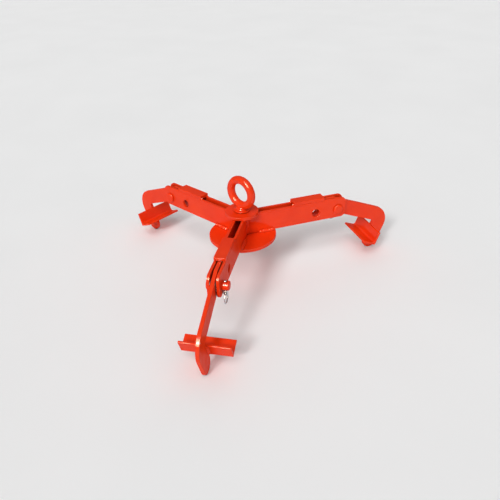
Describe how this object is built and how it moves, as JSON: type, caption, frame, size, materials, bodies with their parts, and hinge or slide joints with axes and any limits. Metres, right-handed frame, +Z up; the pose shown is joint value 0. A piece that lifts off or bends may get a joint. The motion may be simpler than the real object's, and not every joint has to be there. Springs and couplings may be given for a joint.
{
  "type": "drum lifter",
  "caption": "Overhead drum lifter: radial plate arms with pinned hook legs that grip under a drum's rim, hung from a central lifting eye.",
  "frame": {"origin": "centre of the lifting eye", "axes": "+Z up along the eye bolt; the eye lies in the XZ plane, and arm a runs along -X"},
  "size_m": [0.587, 0.6536, 0.2507],
  "materials": {
    "orange_paint": "semi-gloss orange-red enamel over steel",
    "zinc_plate": "bright zinc plating"
  },
  "bodies": {
    "frame": {"bottom_disc": "orange_paint", "top_disc": "orange_paint", "eye_bolt": "orange_paint", "eye_washer": "zinc_plate", "eye_nut": "zinc_plate", "side_plate_left_a": "orange_paint", "side_plate_right_a": "orange_paint", "stop_cover_a": "orange_paint", "spacer_washers_a": "zinc_plate", "side_plate_left_b": "orange_paint", "side_plate_right_b": "orange_paint", "stop_cover_b": "orange_paint", "spacer_washers_b": "zinc_plate", "side_plate_left_c": "orange_paint", "side_plate_right_c": "orange_paint", "stop_cover_c": "orange_paint", "spacer_washers_c": "zinc_plate"},
    "hook_a": {"hook_leg_a": "orange_paint", "rim_angle_a": "orange_paint"},
    "pin_a": {"pivot_pin_a": "orange_paint"},
    "detent_a": {"detent_pin_a": "zinc_plate"},
    "ring_a": {"pull_ring_a": "zinc_plate"},
    "hook_b": {"hook_leg_b": "orange_paint", "rim_angle_b": "orange_paint"},
    "pin_b": {"pivot_pin_b": "orange_paint"},
    "detent_b": {"detent_pin_b": "zinc_plate"},
    "ring_b": {"pull_ring_b": "zinc_plate"},
    "hook_c": {"hook_leg_c": "orange_paint", "rim_angle_c": "orange_paint"},
    "pin_c": {"pivot_pin_c": "orange_paint"},
    "detent_c": {"detent_pin_c": "zinc_plate"},
    "ring_c": {"pull_ring_c": "zinc_plate"}
  },
  "joints": [
    {"name": "hook_a_lift", "type": "hinge", "parent": "frame", "child": "hook_a", "pos_m": [-0.235, 0, -0.08], "axis": [0, 1, 0], "range_deg": [0, 124]},
    {"name": "pin_a_turn", "type": "hinge", "parent": "frame", "child": "pin_a", "pos_m": [-0.235, 0, -0.08], "axis": [0, -1, 0], "continuous": true},
    {"name": "detent_a_pull", "type": "slide", "parent": "pin_a", "child": "detent_a", "axis": [0, 0, -1], "range_m": [0, 0.045]},
    {"name": "ring_a_swing", "type": "hinge", "parent": "detent_a", "child": "ring_a", "pos_m": [-0.235, 0.019, -0.0958], "axis": [1, 0, 0], "range_deg": [-8, 100]},
    {"name": "hook_b_lift", "type": "hinge", "parent": "frame", "child": "hook_b", "pos_m": [0.1175, -0.20352, -0.08], "axis": [-0.866, -0.5, 0], "range_deg": [0, 124]},
    {"name": "pin_b_turn", "type": "hinge", "parent": "frame", "child": "pin_b", "pos_m": [0.1175, -0.20352, -0.08], "axis": [0.866, 0.5, 0], "continuous": true},
    {"name": "detent_b_pull", "type": "slide", "parent": "pin_b", "child": "detent_b", "axis": [0, 0, -1], "range_m": [0, 0.045]},
    {"name": "ring_b_swing", "type": "hinge", "parent": "detent_b", "child": "ring_b", "pos_m": [0.13395, -0.19402, -0.0958], "axis": [0.5, -0.866, 0], "range_deg": [-8, 100]},
    {"name": "hook_c_lift", "type": "hinge", "parent": "frame", "child": "hook_c", "pos_m": [0.1175, 0.20352, -0.08], "axis": [0.866, -0.5, 0], "range_deg": [0, 124]},
    {"name": "pin_c_turn", "type": "hinge", "parent": "frame", "child": "pin_c", "pos_m": [0.1175, 0.20352, -0.08], "axis": [-0.866, 0.5, 0], "continuous": true},
    {"name": "detent_c_pull", "type": "slide", "parent": "pin_c", "child": "detent_c", "axis": [0, 0, -1], "range_m": [0, 0.045]},
    {"name": "ring_c_swing", "type": "hinge", "parent": "detent_c", "child": "ring_c", "pos_m": [0.10105, 0.21302, -0.0958], "axis": [0.5, 0.866, 0], "range_deg": [-8, 100]}
  ]
}
